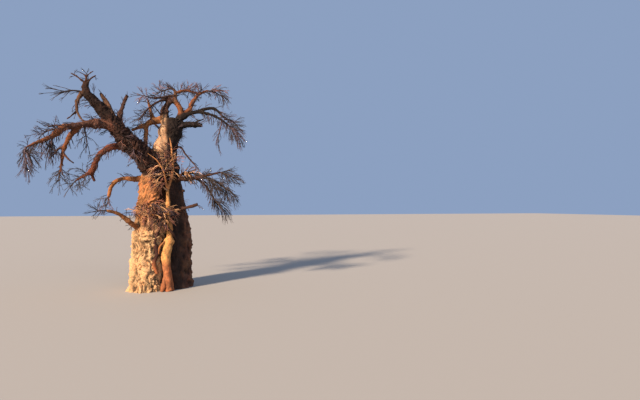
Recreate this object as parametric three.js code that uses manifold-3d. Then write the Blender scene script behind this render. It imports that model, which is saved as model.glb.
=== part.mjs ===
// A bare baobab: a trunk of fused columns with a root flare, two leaders, their boughs and stubs,
// a slender stem up the front, and a closed uneven envelope round each spray of twigs.
// Millimetres, +Z up. The origin is on the flat cut at ground level, under the middle of the trunk.
// +X is to the right in the view that shows the whole crown, and +Y goes away from the viewer.

import * as THREE from 'three';
import { mergeVertices } from 'three/addons/utils/BufferGeometryUtils.js';
import Module from 'manifold-3d';

const wasm = await Module();
wasm.setup();

// Driving dimensions of the trunk
const FORK_HEIGHT = 5150; // top of the fused columns, inside the foot of the leaders
const BELOW_GROUND = 150; // the columns are drawn this much longer and cut off at the ground
const FLARE_HEIGHT = 800; // the root flare starts here
const FLARE_SPREAD = 0.1; // the columns' widening at the ground, as a share of their half width
const FLUTE_DEPTH = 0.035; // as a share of the half width

// Fineness of the facets
const TRUNK_SIDES = 18;
const TRUNK_STEPS = 12;
const LEADER_SIDES = 10;
const BOUGH_SIDES = 7;
const SPRAY_SIDES = 8;
const SPRAY_STEPS = 6;
const BOUGH_STEP_LENGTH = 480;

const JOINT_GAP = 0.4; // between a piece and the one that it grows from
const SPRAY_LUMPS = 0.5; // unevenness of a spray, as a share of its size
const SPRAY_POINTED = 0.55; // how full a spray is near its two ends: 0 is a cylinder, 1 a lens

const BARK = new THREE.MeshStandardMaterial({ color: 0x8a6448, roughness: 0.9, metalness: 0 });
const PALE_BARK = new THREE.MeshStandardMaterial({ color: 0xb58a5e, roughness: 0.85, metalness: 0 });
const TWIGS = new THREE.MeshStandardMaterial({ color: 0x5d4238, roughness: 0.95, metalness: 0 });

// Each column's middle and half widths at these heights, and how far its right side is set back, as a slope.
const LEVELS = [0, 1000, 2000, 3500, 4500, FORK_HEIGHT];
const COLUMNS = {
  left: {
    middleX: [-530, -490, -440, -330, -260, -120],
    middleY: [-90, -90, -100, -110, -110, -90],
    halfX: [690, 660, 670, 555, 530, 430],
    halfY: [860, 850, 820, 700, 610, 470],
    setback: [0, 0, 0, 0, 0, 0],
    flutePhase: 0.4,
  },
  right: {
    middleX: [620, 620, 600, 450, 280, 190],
    middleY: [240, 230, 220, 200, 110, 20],
    halfX: [620, 640, 630, 560, 510, 500],
    halfY: [740, 720, 700, 620, 570, 510],
    setback: [0.35, 0.35, 0.35, 0.3, 0.15, 0],
    flutePhase: 2.1,
  },
  back: {
    middleX: [30, 30, 40, 60, 60, 60],
    middleY: [460, 450, 430, 340, 260, 160],
    halfX: [760, 740, 720, 620, 540, 420],
    halfY: [720, 700, 670, 580, 500, 380],
    setback: [0, 0, 0, 0, 0, 0],
    flutePhase: 3.7,
  },
};

// Each station of a limb is the middle of one section: x, y, z and radius.
const LEADERS = {
  leader_right: [[120, 50, 4840, 530], [180, 100, 5770, 480], [330, 200, 6380, 385], [420, 300, 7000, 420]],
  leader_left: [[-80, -220, 4600, 470], [-580, -450, 5340, 440], [-1180, -600, 5950, 400],
    [-1640, -750, 6540, 290], [-1970, -800, 6940, 235], [-2310, -850, 7320, 195], [-2660, -900, 7670, 170],
    [-2780, -920, 7780, 130]],
};

const BOUGHS = {
  tip_knob: [[-2720, -900, 7800, 130], [-2740, -950, 7980, 118], [-2710, -980, 8120, 100],
    [-2720, -1000, 8260, 56]],
  left_drop_limb: [[-2860, -910, 7760, 90], [-2970, -940, 7550, 68], [-3050, -980, 7320, 70],
    [-3040, -1000, 6980, 50]],
  left_bough: [[-1560, -680, 6450, 240], [-2030, -930, 6550, 200], [-2440, -1150, 6540, 145],
    [-2870, -1420, 6440, 130], [-3350, -1750, 6300, 115]],
  left_outer_bough: [[-3320, -1700, 6320, 112], [-3630, -2000, 5970, 108], [-4120, -2400, 5610, 70],
    [-4370, -2640, 5430, 42]],
  left_hanging_limb: [[-2960, -1470, 6360, 105], [-3250, -1330, 5990, 95], [-3430, -1200, 5620, 80],
    [-3510, -1120, 5330, 64], [-3550, -1050, 5030, 50], [-3610, -1000, 4700, 36]],
  left_lower_bough: [[-1300, -480, 5810, 170], [-1950, -200, 5770, 135], [-2360, 200, 5530, 135],
    [-2750, 800, 4830, 115]],
  broken_stub: [[-1860, -780, 6960, 130], [-1960, -720, 7330, 115], [-2100, -670, 7590, 100],
    [-2250, -650, 7830, 55]],
  upright_stub: [[-1590, -700, 6720, 110], [-1490, -630, 7200, 78], [-1390, -580, 7550, 68],
    [-1280, -550, 7820, 70]],
  trunk_left_bough: [[-600, 70, 4550, 135], [-1140, 200, 4530, 115], [-1500, 330, 4560, 92],
    [-1820, 450, 4410, 85], [-2000, 550, 4120, 76], [-2070, 620, 3780, 55]],
  low_left_bough: [[-820, -380, 2470, 112], [-1130, -800, 2730, 94], [-1370, -1000, 2970, 84],
    [-1640, -1200, 3160, 72], [-1960, -1390, 3250, 48]],
  cross_bough: [[100, 300, 7080, 150], [-200, 300, 7030, 145], [-420, 250, 6950, 112],
    [-610, 150, 6790, 88], [-830, 50, 6680, 70], [-1120, -200, 6500, 50]],
  prop_limb: [[-600, 180, 6760, 74], [-590, 80, 6400, 72], [-610, -180, 5960, 76]],
  upper_left_limb: [[-320, 300, 7040, 85], [-410, 200, 7350, 66], [-480, 100, 7640, 52],
    [-520, 60, 7830, 36]],
  ring_left: [[190, 300, 6960, 172], [140, 300, 7420, 152], [300, 350, 7780, 120], [500, 350, 7920, 108]],
  ring_right: [[690, 300, 6960, 168], [830, 300, 7390, 130], [750, 350, 7670, 112], [540, 350, 7920, 102]],
  upper_mid_limb: [[540, 400, 8130, 60], [360, 350, 8110, 52], [40, 200, 7990, 46], [-240, 100, 7920, 40],
    [-450, 60, 7930, 32]],
  crown_top_limb: [[550, 350, 7880, 108], [600, 500, 8170, 82], [560, 700, 8420, 66], [420, 870, 8570, 45]],
  upper_right_limb: [[790, 300, 7230, 110], [1150, 450, 7580, 92], [1290, 650, 7930, 92],
    [1560, 850, 8330, 75], [1980, 1180, 8620, 45]],
  right_arm_upper: [[740, 250, 7140, 140], [1180, 100, 7370, 100], [1580, -100, 7470, 74],
    [2090, -350, 7550, 66], [2400, -540, 7310, 46]],
  right_arm_lower: [[1400, -10, 7430, 64], [1880, -400, 7300, 56], [2250, -800, 7090, 52],
    [2640, -1140, 6740, 38]],
  right_stub: [[560, 210, 6860, 150], [1170, 0, 6870, 105], [1650, -200, 6830, 85]],
  right_lower_bough: [[440, -180, 4570, 150], [1140, -600, 4560, 100], [1640, -900, 4650, 60],
    [2290, -1280, 4780, 34]],
  right_drooping_limb: [[1370, -700, 4590, 62], [1780, -600, 4250, 50], [2130, -505, 3710, 34]],
  trunk_right_stub: [[720, -190, 3300, 78], [1150, -350, 3380, 60], [1450, -450, 3480, 52]],
  back_bough: [[220, 280, 5860, 240], [380, 1000, 6180, 190], [430, 1800, 6450, 130],
    [490, 2600, 6700, 72]],
  back_left_bough: [[-500, 150, 5100, 230], [-1100, 1000, 5950, 170], [-1500, 1600, 6480, 130],
    [-1860, 2180, 6980, 78]],
  back_low_bough: [[-20, 480, 4560, 195], [-170, 1400, 4740, 155], [-300, 2200, 4740, 115],
    [-390, 2880, 4640, 65]],
  back_right_bough: [[270, 600, 3740, 175], [420, 1400, 3910, 135], [480, 2100, 3920, 95],
    [540, 2680, 3800, 55]],
};

// The stem on the trunk's front starts below the ground too, and is cut off with it.
const FRONT_STEM = {
  front_stem: [[300, -840, -BELOW_GROUND, 160], [280, -820, 300, 150], [260, -800, 700, 150],
    [210, -800, 1120, 185], [180, -800, 1420, 205], [250, -770, 1780, 180], [320, -690, 2120, 150],
    [320, -600, 2460, 105], [310, -580, 2860, 86], [260, -590, 3730, 66], [240, -570, 4200, 62]],
  front_stem_fork: [[240, -570, 4100, 60], [400, -580, 4550, 60], [460, -550, 5000, 56],
    [430, -490, 5450, 48], [400, -380, 5920, 38]],
};

// Each station of a spray is x, y, z, then its half size in the crown's picture plane and its half depth.
const SPRAYS = {
  twigs_top_left: [[-3270, -1000, 8370, 110, 140], [-2790, -1000, 8460, 270, 400],
    [-2280, -1000, 8430, 150, 200]],
  twigs_left_tip: [[-2880, -950, 7770, 110, 120], [-3350, -1150, 7690, 240, 280],
    [-3940, -1400, 7590, 240, 280]],
  twigs_left_upper: [[-3380, -1780, 6330, 120, 110], [-3740, -2100, 6180, 210, 220],
    [-4200, -2300, 5920, 210, 220]],
  twigs_left_end: [[-4190, -2500, 5550, 170, 200], [-4290, -2650, 5290, 290, 360],
    [-4280, -2750, 4950, 240, 300], [-4340, -2800, 4470, 130, 180]],
  twigs_left_under: [[-3700, -1980, 5800, 150, 150], [-3740, -1940, 5420, 290, 260],
    [-3810, -1900, 5030, 200, 200]],
  twigs_left_hanging: [[-3580, -1050, 4850, 150, 150], [-3610, -1000, 4550, 340, 320],
    [-3790, -950, 4140, 230, 220]],
  twigs_left_mid: [[-2910, -1380, 6360, 160, 160], [-2750, -1300, 5900, 360, 340],
    [-2700, -1200, 5420, 230, 220]],
  twigs_left_lower: [[-2740, 790, 4860, 170, 160], [-3230, 1100, 4590, 420, 420],
    [-3770, 1400, 4090, 250, 260]],
  twigs_trunk_left: [[-2060, 600, 3900, 120, 120], [-2200, 700, 3540, 290, 300],
    [-2350, 800, 3210, 190, 200]],
  twigs_low_left: [[-1890, -1370, 3240, 120, 120], [-2220, -1450, 3270, 260, 300],
    [-2580, -1600, 3130, 190, 200]],
  twigs_upper_left: [[-480, 70, 7780, 130, 120], [-670, 0, 7920, 270, 280], [-1010, -100, 7950, 160, 180]],
  twigs_sweep: [[340, 350, 7930, 66, 62], [0, 120, 7860, 54, 54], [-410, -300, 7480, 70, 60],
    [-730, -550, 7080, 220, 220], [-890, -700, 6760, 140, 140]],
  twigs_top_mid: [[460, 880, 8560, 130, 120], [80, 850, 8470, 280, 360], [-290, 800, 8280, 170, 200]],
  twigs_top_right: [[590, 600, 8310, 84, 76], [1000, 720, 8500, 150, 220], [1520, 850, 8630, 150, 260],
    [1870, 950, 8700, 90, 140]],
  twigs_upper_right: [[1940, 1170, 8620, 140, 120], [2580, 1400, 8600, 280, 320],
    [2870, 1500, 8090, 160, 180]],
  twigs_right_tip: [[2340, -750, 7170, 210, 260], [2750, -1100, 6800, 310, 360],
    [2990, -1400, 6360, 310, 340], [3050, -1600, 5850, 120, 140]],
  twigs_right_hanging: [[2280, -770, 7110, 74, 75], [2260, -780, 6580, 110, 100],
    [2230, -800, 6030, 80, 80], [2300, -800, 5620, 50, 50]],
  twigs_right_high: [[2240, -1220, 4780, 120, 120], [2630, -1400, 4660, 220, 280],
    [3090, -1600, 4410, 100, 120]],
  twigs_right_mid: [[1600, -900, 4580, 170, 160], [2180, -1100, 4240, 330, 360],
    [2910, -1400, 3700, 240, 260]],
  twigs_right_low: [[2080, -520, 3800, 120, 120], [2350, -470, 3460, 270, 270],
    [2670, -450, 2990, 170, 170]],
  twigs_front_low: [[-1040, -760, 3250, 200, 160], [-560, -1000, 3160, 520, 270],
    [60, -1010, 3080, 520, 260], [640, -800, 3100, 260, 180]],
  twigs_front_high: [[260, -330, 6000, 230, 170], [180, -560, 5350, 470, 280], [-30, -800, 4720, 430, 270],
    [-140, -920, 4120, 240, 190]],
  twigs_leader: [[-1510, -1050, 6210, 180, 180], [-1080, -1060, 5640, 310, 230],
    [-640, -1000, 5080, 220, 180]],
  twigs_back: [[490, 2500, 6670, 190, 200], [530, 3200, 6830, 430, 550], [570, 3900, 6730, 250, 280]],
  twigs_back_left: [[-1830, 2100, 6910, 190, 180], [-2080, 2700, 7290, 360, 450],
    [-2390, 3300, 7690, 210, 240]],
  twigs_back_low: [[-390, 2800, 4650, 190, 180], [-460, 3400, 4470, 480, 500],
    [-470, 3900, 3850, 290, 280]],
  twigs_back_right: [[540, 2600, 3810, 170, 160], [600, 3150, 3650, 430, 450], [610, 3600, 3120, 240, 250]],
};

// A repeatable source of random numbers from 0 to 1.
function randomFrom(seed) {
  let state = seed >>> 0;
  return () => {
    state = (state + 0x6d2b79f5) >>> 0;
    let mixed = Math.imul(state ^ (state >>> 15), 1 | state);
    mixed = (mixed + Math.imul(mixed ^ (mixed >>> 7), 61 | mixed)) ^ mixed;
    return ((mixed ^ (mixed >>> 14)) >>> 0) / 2 ** 32;
  };
}

// A closed solid from rings of points. pointAt(t, angle) gives the skin, and each end closes on a point.
function solidFromRings(steps, sides, pointAt, firstPole, lastPole) {
  const points = [firstPole];
  for (let step = 0; step <= steps; step++) {
    for (let side = 0; side < sides; side++) points.push(pointAt(step / steps, (2 * Math.PI * side) / sides));
  }
  points.push(lastPole);
  const corner = (step, side) => 1 + step * sides + (side % sides);
  const last = points.length - 1;
  const faces = [];
  for (let side = 0; side < sides; side++) {
    faces.push(0, corner(0, side + 1), corner(0, side));
    faces.push(last, corner(steps, side), corner(steps, side + 1));
    for (let step = 0; step < steps; step++) {
      const [a, b] = [corner(step, side), corner(step, side + 1)];
      const [c, d] = [corner(step + 1, side + 1), corner(step + 1, side)];
      faces.push(a, b, c, a, c, d);
    }
  }
  const geometry = new THREE.BufferGeometry().setFromPoints(points).setIndex(faces);
  return solidFromGeometry(geometry);
}

function solidFromGeometry(geometry) {
  const merged = mergeVertices(geometry);
  return new wasm.Manifold(new wasm.Mesh({
    numProp: 3,
    vertProperties: new Float32Array(merged.attributes.position.array),
    triVerts: new Uint32Array(merged.index.array),
  }));
}

function geometryFromSolid(solid) {
  const mesh = solid.getMesh();
  const geometry = new THREE.BufferGeometry();
  geometry.setAttribute('position', new THREE.BufferAttribute(new Float32Array(mesh.vertProperties), 3));
  geometry.setIndex(new THREE.BufferAttribute(new Uint32Array(mesh.triVerts), 1));
  geometry.computeVertexNormals();
  return geometry;
}

// The value at t from 0 to 1 along a list of evenly spaced values.
function along(values, t) {
  const place = t * (values.length - 1);
  const before = Math.min(Math.floor(place), values.length - 2);
  return THREE.MathUtils.lerp(values[before], values[before + 1], place - before);
}

// The value at height z along a list that goes with LEVELS.
function atHeight(values, z) {
  const above = Math.max(1, LEVELS.findIndex((level) => level >= z));
  const share = (z - LEVELS[above - 1]) / (LEVELS[above] - LEVELS[above - 1]);
  return THREE.MathUtils.lerp(values[above - 1], values[above], Math.max(share, 0));
}

// One fused column of the trunk, grown outwards by `grow` and standing below the ground by BELOW_GROUND.
function columnSolid({ middleX, middleY, halfX, halfY, setback, flutePhase }, grow) {
  const middleAt = (z) => new THREE.Vector3(atHeight(middleX, z), atHeight(middleY, z), z);
  const pointAt = (t, angle) => {
    const z = THREE.MathUtils.lerp(-BELOW_GROUND, FORK_HEIGHT, t);
    const nearGround = THREE.MathUtils.clamp(1 - z / FLARE_HEIGHT, 0, 1) ** 2;
    const flare = 1 + FLARE_SPREAD * nearGround * (1 + 0.6 * Math.cos(3 * angle + flutePhase));
    const flute = 1 + FLUTE_DEPTH * Math.cos(5 * angle + flutePhase + 2 * t);
    const [outX, outY] = [halfX, halfY].map((sizes) => atHeight(sizes, z) * flare * flute + grow);
    const aside = outX * Math.cos(angle);
    const away = outY * Math.sin(angle) + atHeight(setback, z) * aside;
    return middleAt(z).add(new THREE.Vector3(aside, away, 0));
  };
  const dome = halfX.at(-1) * 0.3;
  const top = middleAt(FORK_HEIGHT).setZ(FORK_HEIGHT + dome + grow);
  return solidFromRings(TRUNK_STEPS, TRUNK_SIDES, pointAt, middleAt(0).setZ(-BELOW_GROUND), top);
}

function trunkSolid(grow) {
  const columns = Object.values(COLUMNS).map((column) => columnSolid(column, grow));
  const fused = columns.reduce((whole, column) => whole.add(column));
  return aboveGround(fused);
}

function aboveGround(solid) {
  return solid.trimByPlane([0, 0, 1], 0);
}

// A smooth line through the stations' middles, with two directions square to it at each place.
function centreline(stations) {
  const curve = new THREE.CatmullRomCurve3(
    stations.map(([x, y, z]) => new THREE.Vector3(x, y, z)),
    false,
    'centripetal',
  );
  const overall = curve.getPoint(1).sub(curve.getPoint(0)).normalize();
  const away = new THREE.Vector3(0, 1, 0);
  const up = new THREE.Vector3(0, 0, 1);
  const reference = Math.abs(overall.dot(away)) > 0.8 ? up : away;
  return (t) => {
    const middle = curve.getPoint(t);
    const tangent = curve.getTangent(t);
    const across = new THREE.Vector3().crossVectors(reference, tangent).normalize();
    const deep = new THREE.Vector3().crossVectors(tangent, across).normalize();
    return { middle, tangent, across, deep };
  };
}

function lineSolid(stations, steps, sides, halfSizesAt, grow) {
  const placeAt = centreline(stations);
  const pointAt = (t, angle) => {
    const { middle, tangent, across, deep } = placeAt(t);
    const [acrossHalf, deepHalf] = halfSizesAt(t, angle);
    const lengthen = t === 0 ? -grow : t === 1 ? grow : 0;
    return middle
      .addScaledVector(tangent, lengthen)
      .addScaledVector(across, (acrossHalf + grow) * Math.cos(angle))
      .addScaledVector(deep, (deepHalf + grow) * Math.sin(angle));
  };
  const poleAt = (t, sign) => {
    const { middle, tangent } = placeAt(t);
    return middle.addScaledVector(tangent, sign * (Math.min(...halfSizesAt(t, 0)) * 0.35 + grow));
  };
  return solidFromRings(steps, sides, pointAt, poleAt(0, -1), poleAt(1, 1));
}

// A limb tapers along its stations.
function limbSolid(stations, sides, grow) {
  const radii = stations.map((station) => station[3]);
  const first = new THREE.Vector3(...stations[0]);
  const length = first.distanceTo(new THREE.Vector3(...stations.at(-1)));
  const steps = Math.max(stations.length - 1, Math.round(length / BOUGH_STEP_LENGTH));
  return lineSolid(stations, steps, sides, (t) => [along(radii, t), along(radii, t)], grow);
}

// A spray swells from its root and closes at its tip, and its skin is uneven.
function spraySolid(stations, seed, grow) {
  const random = randomFrom(seed);
  const waves = Array.from({ length: 4 }, (_, n) => ({
    round: 2 + (n % 3),
    down: 3 + 5 * random(),
    phase: 2 * Math.PI * random(),
  }));
  const sizes = [3, 4].map((index) => stations.map((station) => station[index]));
  const halfSizesAt = (t, angle) => {
    const heights = waves.map(({ round, down, phase }) => Math.cos(round * angle + down * t + phase));
    const lump = heights.reduce((sum, height) => sum + height, 0);
    const fullness = (1 - SPRAY_POINTED) + SPRAY_POINTED * Math.sin(Math.PI * (0.12 + 0.76 * t));
    return sizes.map((values) => along(values, t) * fullness * (1 + (SPRAY_LUMPS * lump) / waves.length));
  };
  return lineSolid(stations, SPRAY_STEPS, SPRAY_SIDES, halfSizesAt, grow);
}

// Each piece is cut clear of those placed before it, and keeps its largest body.
const placed = [];
const tree = new THREE.Group();

function place(name, material, solidAt) {
  let solid = solidAt(0);
  for (const earlier of placed) solid = solid.subtract(earlier);
  const bodies = solid.decompose();
  const largest = bodies.reduce((best, body) => (body.volume() > best.volume() ? body : best));
  placed.push(solidAt(JOINT_GAP));
  const mesh = new THREE.Mesh(geometryFromSolid(largest), material);
  mesh.name = name;
  tree.add(mesh);
}

place('trunk', BARK, trunkSolid);
for (const [name, stations] of Object.entries(LEADERS)) {
  place(name, BARK, (grow) => limbSolid(stations, LEADER_SIDES, grow));
}
for (const [name, stations] of Object.entries(BOUGHS)) {
  place(name, BARK, (grow) => limbSolid(stations, BOUGH_SIDES, grow));
}
for (const [name, stations] of Object.entries(FRONT_STEM)) {
  place(name, PALE_BARK, (grow) => aboveGround(limbSolid(stations, BOUGH_SIDES, grow)));
}
Object.entries(SPRAYS).forEach(([name, stations], index) => {
  place(name, TWIGS, (grow) => spraySolid(stations, index + 1, grow));
});

export default tree;
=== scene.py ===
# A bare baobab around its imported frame: one bark skin with real relief over the trunk and all limbs,
# divided into a piece for each limb, and a seeded spray of twigs in the place of each twig mass.
# Metres, +Z up, in the frame's own axes.

import math

import bpy
import numpy as np
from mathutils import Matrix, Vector
from mathutils.bvhtree import BVHTree


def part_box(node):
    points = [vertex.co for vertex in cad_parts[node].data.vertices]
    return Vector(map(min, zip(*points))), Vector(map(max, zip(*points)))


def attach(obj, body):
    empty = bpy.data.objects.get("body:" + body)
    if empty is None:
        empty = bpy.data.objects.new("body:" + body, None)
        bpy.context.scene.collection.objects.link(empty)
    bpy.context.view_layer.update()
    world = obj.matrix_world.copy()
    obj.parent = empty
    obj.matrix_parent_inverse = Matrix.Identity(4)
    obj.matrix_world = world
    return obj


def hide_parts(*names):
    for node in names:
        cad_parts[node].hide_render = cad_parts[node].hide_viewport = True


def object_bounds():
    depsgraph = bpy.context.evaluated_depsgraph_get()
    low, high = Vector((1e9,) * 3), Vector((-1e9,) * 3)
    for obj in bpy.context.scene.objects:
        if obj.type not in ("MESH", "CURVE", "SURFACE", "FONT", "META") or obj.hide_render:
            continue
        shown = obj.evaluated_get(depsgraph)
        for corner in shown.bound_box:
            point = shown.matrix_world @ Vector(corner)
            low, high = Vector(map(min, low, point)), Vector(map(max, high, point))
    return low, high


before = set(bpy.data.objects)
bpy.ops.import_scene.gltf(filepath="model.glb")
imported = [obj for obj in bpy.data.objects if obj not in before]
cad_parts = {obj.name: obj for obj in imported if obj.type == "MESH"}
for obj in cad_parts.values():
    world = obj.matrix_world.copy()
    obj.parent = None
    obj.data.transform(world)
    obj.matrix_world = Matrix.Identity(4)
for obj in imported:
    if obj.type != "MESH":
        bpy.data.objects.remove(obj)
cad_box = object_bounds()

# Photograph and camera
FRAME_WIDTH = 640
FRAME_HEIGHT = 400
FOCAL_LENGTH = 498  # in pixels of the frame
HORIZON_ROW = 205
SENSOR_WIDTH = 36.0
CAMERA_DISTANCE = 21.8
CAMERA_REACH = 400  # how far away the camera still sees things
EYE_HEIGHT = 3.46
LOOK_RIGHT = math.atan(159 / FOCAL_LENGTH)
FLOOR_REACH = 150
FLOOR_DROP = 0.002  # the floor lies this much under the trunk's flat foot

# Bark skin
VOXEL = 0.022
BELOW_GROUND = 0.25  # the trunk is made this much longer and cut off at the ground
LIMB_SIDES = 20
LIMB_STEP = 0.07
NEAR_STEP = 0.06  # the distance between the points of a limb that the skin is compared with
BATCH = 2000  # how many places are compared at a time
COLUMN_SIDES = 72
COLUMN_STEP = 0.08
TUBE_END = 0.35  # how far a tube's cap stands out, as a share of its radius
COLLAR = 0.22  # widening of a limb at its root, as a share of its radius
WANDER = 0.26  # how far a limb strays from its line, as a share of its radius
SWELL = 0.16  # how much a limb swells and narrows
KNUCKLE = 0.34  # the height of a limb's knobs, as a share of its radius
THIN_LIMB = 0.12  # the radius under which the skin is smoothed less
SMOOTH_ROUNDS = 7
SMOOTH_SHARE = 0.6  # how far a round moves each vertex towards its neighbours' mean
LAST_SMOOTHING = 0.25  # the same, once more after the relief
SMOOTH_LIMB_RELIEF = 0.45  # how strong the relief of the smoother limbs on the right is
RADIUS_ROUNDS = 12  # rounds in which the radius is evened out over the skin
TRUNK_ROUNDS = 16  # rounds in which the trunk's relief fades into that of the limbs
TINT_ROUNDS = 10  # rounds in which the tints of neighbouring limbs run together
BORDER_ROUNDS = 7  # rounds that smooth the borders between pieces
STRAY_ROUNDS = 80  # rounds that give stray patches to the pieces around them
TRUNK_RADIUS = 0.6  # the radius that counts for the trunk's skin
FULL_RELIEF = 0.14  # the span of heights from the darkest hollow to the lightest ridge, which sets the painted shade in hollows and the painted highlights on ridges
STEM_SIDES = 24
STEM_STEP = 0.035
STEM_RELIEF = 0.6  # how strong the relief of the stems on the trunk is
CAP_DEPTH = 0.4  # how far inside the skin a divided limb is closed, as a share of its radius
FLARE_HEIGHT = 0.8
FLARE_SPREAD = 0.1

# Twigs
TIP_RADIUS = 0.0088
TAPER = 0.42  # a twig's last radius, as a share of its first
STEM_GROWTH = 0.42  # a stem's radius rises with this power of the number of tips that it carries
TWIGGY_LOAD = 9  # stems that carry more tips than this have no twigs along them
JOINT_STEP = 0.09  # the distance between the joints of a twig's stem
TURN_COST = 0.7  # how dear a turn is to a new stem that looks for its start
WAVE = 0.013  # how far a stem sways from its curve, as a share of its length
STRAY_ROOM = 0.09  # how far a twig may reach out of the frame's box
LOWEST_TIP = 0.3  # how near to the ground a twig may end
GOLDEN_ANGLE = math.radians(137.5)
THREE_SIDES, FOUR_SIDES, SIX_SIDES = 0.011, 0.016, 0.03  # the largest radii of rods with so many sides
RAY = Vector((0.31, 0.22, 0.92)).normalized()  # the line that tells whether a place is inside a solid
MOST_CROSSINGS = 12
LEAST_TRIES = 300  # how many places are tried for the ends of a spray's stems, at least
TRIES_PER_ROOM = 7  # and for each cube as wide as the room between them

# Seeds of the random draws
STEM_SEEDS = (500, 520, 540)
SPRAY_SEED = 200
LIMB_TWIG_SEED = 300


def colour(code):
    """A hexadecimal sRGB colour as scene-linear red, green and blue."""
    parts = [int(code[i : i + 2], 16) / 255 for i in (0, 2, 4)]
    return np.array([p / 12.92 if p < 0.04045 else ((p + 0.055) / 1.055) ** 2.4 for p in parts])


# Bark tints, before the patterns darken their cracks
PALE = colour("eac292")
# The pale bark of a thin stem, and painted sunlight on leader_right's left edge
PALE_AND_PAINTED_SUNLIGHT = colour("efc49c")
ORANGE = colour("d0925f")
TAN = colour("cf8f5c")
RUST = colour("a56a45")
RED = colour("8e5540")
BROWN = colour("7c5646")
UMBER = colour("62453a")
# Painted shade on the right arms, the right stub and small limbs on the right
RIGHT_PAINTED_SHADE = colour("1f1716")
# Painted shade on the trunk's right column, where the front stem and the left column shadow it
SHADE = colour("46352f")
GREY = colour("82604a")
# Painted shade over leader_right, which the left leader shadows
LEADER_PAINTED_SHADE = colour("2f2420")
COCOA = colour("3e2820")
WINE = colour("54352f")
PALE_STEM = colour("ffc078")
FORK_STEM = colour("f2ac70")
STEM_FOOT = colour("cf8458")
# The colour of the painted shade in creases and dents
CREASE_SHADE = (0.030, 0.013, 0.008, 1)
REDDER = (1.15, 0.72, 0.52)  # what red patches multiply the tint by

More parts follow.
